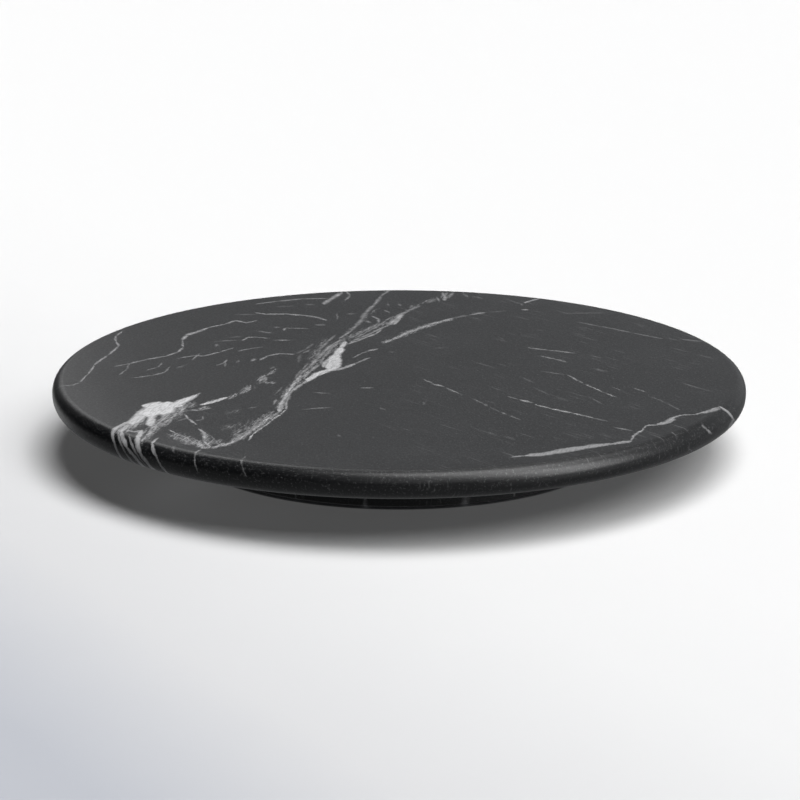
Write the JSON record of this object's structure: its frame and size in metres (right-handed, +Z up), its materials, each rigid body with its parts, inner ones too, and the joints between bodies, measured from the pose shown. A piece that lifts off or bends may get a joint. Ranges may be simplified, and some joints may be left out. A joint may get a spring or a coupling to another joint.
{
  "type": "lazy susan turntable",
  "caption": "Round black marble serving turntable with a bullnose edge, on a smaller marble base with a hidden ball-bearing swivel and silicone feet.",
  "frame": {"origin": "on the table surface, under the spin axis, level with the bottoms of the feet", "axes": "+Z up along the spin axis; X and Y are alike, with +X through one foot"},
  "size_m": [0.4059, 0.406, 0.0445],
  "materials": {
    "black_marble": "honed, fine grain, with white veins",
    "zinc_steel": "zinc plated",
    "screw_steel": "plated",
    "ball_steel": "polished",
    "nylon": "natural nylon",
    "brass": "machined",
    "silicone": "matt silicone",
    "rubber": "matt"
  },
  "bodies": {
    "base": {"base_slab": "black_marble", "lower_race": "zinc_steel", "base_inserts": "brass", "base_screws": "screw_steel", "access_plug": "rubber", "foot_1": "silicone", "foot_2": "silicone", "foot_3": "silicone", "foot_4": "silicone", "foot_5": "silicone", "foot_6": "silicone"},
    "turntable": {"turntable_slab": "black_marble", "upper_race": "zinc_steel", "top_inserts": "brass", "top_screws": "screw_steel"},
    "ball_cage": {"ball_cage": "nylon"},
    "ball_01": {"ball_01": "ball_steel"},
    "ball_02": {"ball_02": "ball_steel"},
    "ball_03": {"ball_03": "ball_steel"},
    "ball_04": {"ball_04": "ball_steel"},
    "ball_05": {"ball_05": "ball_steel"},
    "ball_06": {"ball_06": "ball_steel"},
    "ball_07": {"ball_07": "ball_steel"},
    "ball_08": {"ball_08": "ball_steel"},
    "ball_09": {"ball_09": "ball_steel"},
    "ball_10": {"ball_10": "ball_steel"},
    "ball_11": {"ball_11": "ball_steel"},
    "ball_12": {"ball_12": "ball_steel"},
    "ball_13": {"ball_13": "ball_steel"},
    "ball_14": {"ball_14": "ball_steel"},
    "ball_15": {"ball_15": "ball_steel"},
    "ball_16": {"ball_16": "ball_steel"},
    "ball_17": {"ball_17": "ball_steel"},
    "ball_18": {"ball_18": "ball_steel"}
  },
  "joints": [
    {"name": "turntable_spin", "type": "hinge", "parent": "base", "child": "turntable", "pos_m": [0, 0, 0.02481], "axis": [0, 0, 1], "continuous": true},
    {"name": "cage_spin", "type": "hinge", "parent": "base", "child": "ball_cage", "pos_m": [0, 0, 0.02481], "axis": [0, 0, 1], "continuous": true},
    {"name": "ball_roll_01", "type": "hinge", "parent": "ball_cage", "child": "ball_01", "pos_m": [0.06, 0, 0.02481], "axis": [1, 0, 0], "continuous": true},
    {"name": "ball_roll_02", "type": "hinge", "parent": "ball_cage", "child": "ball_02", "pos_m": [0.05638, 0.02052, 0.02481], "axis": [0.9397, 0.342, 0], "continuous": true},
    {"name": "ball_roll_03", "type": "hinge", "parent": "ball_cage", "child": "ball_03", "pos_m": [0.04596, 0.03857, 0.02481], "axis": [0.766, 0.6428, 0], "continuous": true},
    {"name": "ball_roll_04", "type": "hinge", "parent": "ball_cage", "child": "ball_04", "pos_m": [0.03, 0.05196, 0.02481], "axis": [0.5, 0.866, 0], "continuous": true},
    {"name": "ball_roll_05", "type": "hinge", "parent": "ball_cage", "child": "ball_05", "pos_m": [0.01042, 0.05909, 0.02481], "axis": [0.1736, 0.9848, 0], "continuous": true},
    {"name": "ball_roll_06", "type": "hinge", "parent": "ball_cage", "child": "ball_06", "pos_m": [-0.01042, 0.05909, 0.02481], "axis": [-0.1736, 0.9848, 0], "continuous": true},
    {"name": "ball_roll_07", "type": "hinge", "parent": "ball_cage", "child": "ball_07", "pos_m": [-0.03, 0.05196, 0.02481], "axis": [-0.5, 0.866, 0], "continuous": true},
    {"name": "ball_roll_08", "type": "hinge", "parent": "ball_cage", "child": "ball_08", "pos_m": [-0.04596, 0.03857, 0.02481], "axis": [-0.766, 0.6428, 0], "continuous": true},
    {"name": "ball_roll_09", "type": "hinge", "parent": "ball_cage", "child": "ball_09", "pos_m": [-0.05638, 0.02052, 0.02481], "axis": [-0.9397, 0.342, 0], "continuous": true},
    {"name": "ball_roll_10", "type": "hinge", "parent": "ball_cage", "child": "ball_10", "pos_m": [-0.06, 0, 0.02481], "axis": [-1, 0, 0], "continuous": true},
    {"name": "ball_roll_11", "type": "hinge", "parent": "ball_cage", "child": "ball_11", "pos_m": [-0.05638, -0.02052, 0.02481], "axis": [-0.9397, -0.342, 0], "continuous": true},
    {"name": "ball_roll_12", "type": "hinge", "parent": "ball_cage", "child": "ball_12", "pos_m": [-0.04596, -0.03857, 0.02481], "axis": [-0.766, -0.6428, 0], "continuous": true},
    {"name": "ball_roll_13", "type": "hinge", "parent": "ball_cage", "child": "ball_13", "pos_m": [-0.03, -0.05196, 0.02481], "axis": [-0.5, -0.866, 0], "continuous": true},
    {"name": "ball_roll_14", "type": "hinge", "parent": "ball_cage", "child": "ball_14", "pos_m": [-0.01042, -0.05909, 0.02481], "axis": [-0.1736, -0.9848, 0], "continuous": true},
    {"name": "ball_roll_15", "type": "hinge", "parent": "ball_cage", "child": "ball_15", "pos_m": [0.01042, -0.05909, 0.02481], "axis": [0.1736, -0.9848, 0], "continuous": true},
    {"name": "ball_roll_16", "type": "hinge", "parent": "ball_cage", "child": "ball_16", "pos_m": [0.03, -0.05196, 0.02481], "axis": [0.5, -0.866, 0], "continuous": true},
    {"name": "ball_roll_17", "type": "hinge", "parent": "ball_cage", "child": "ball_17", "pos_m": [0.04596, -0.03857, 0.02481], "axis": [0.766, -0.6428, 0], "continuous": true},
    {"name": "ball_roll_18", "type": "hinge", "parent": "ball_cage", "child": "ball_18", "pos_m": [0.05638, -0.02052, 0.02481], "axis": [0.9397, -0.342, 0], "continuous": true}
  ],
  "couplings": [
    {"joint": "cage_spin", "follows": "turntable_spin", "ratio": 0.5},
    {"joint": "ball_roll_01", "follows": "turntable_spin", "ratio": -9.4488},
    {"joint": "ball_roll_02", "follows": "turntable_spin", "ratio": -9.4488},
    {"joint": "ball_roll_03", "follows": "turntable_spin", "ratio": -9.4488},
    {"joint": "ball_roll_04", "follows": "turntable_spin", "ratio": -9.4488},
    {"joint": "ball_roll_05", "follows": "turntable_spin", "ratio": -9.4488},
    {"joint": "ball_roll_06", "follows": "turntable_spin", "ratio": -9.4488},
    {"joint": "ball_roll_07", "follows": "turntable_spin", "ratio": -9.4488},
    {"joint": "ball_roll_08", "follows": "turntable_spin", "ratio": -9.4488},
    {"joint": "ball_roll_09", "follows": "turntable_spin", "ratio": -9.4488},
    {"joint": "ball_roll_10", "follows": "turntable_spin", "ratio": -9.4488},
    {"joint": "ball_roll_11", "follows": "turntable_spin", "ratio": -9.4488},
    {"joint": "ball_roll_12", "follows": "turntable_spin", "ratio": -9.4488},
    {"joint": "ball_roll_13", "follows": "turntable_spin", "ratio": -9.4488},
    {"joint": "ball_roll_14", "follows": "turntable_spin", "ratio": -9.4488},
    {"joint": "ball_roll_15", "follows": "turntable_spin", "ratio": -9.4488},
    {"joint": "ball_roll_16", "follows": "turntable_spin", "ratio": -9.4488},
    {"joint": "ball_roll_17", "follows": "turntable_spin", "ratio": -9.4488},
    {"joint": "ball_roll_18", "follows": "turntable_spin", "ratio": -9.4488}
  ]
}
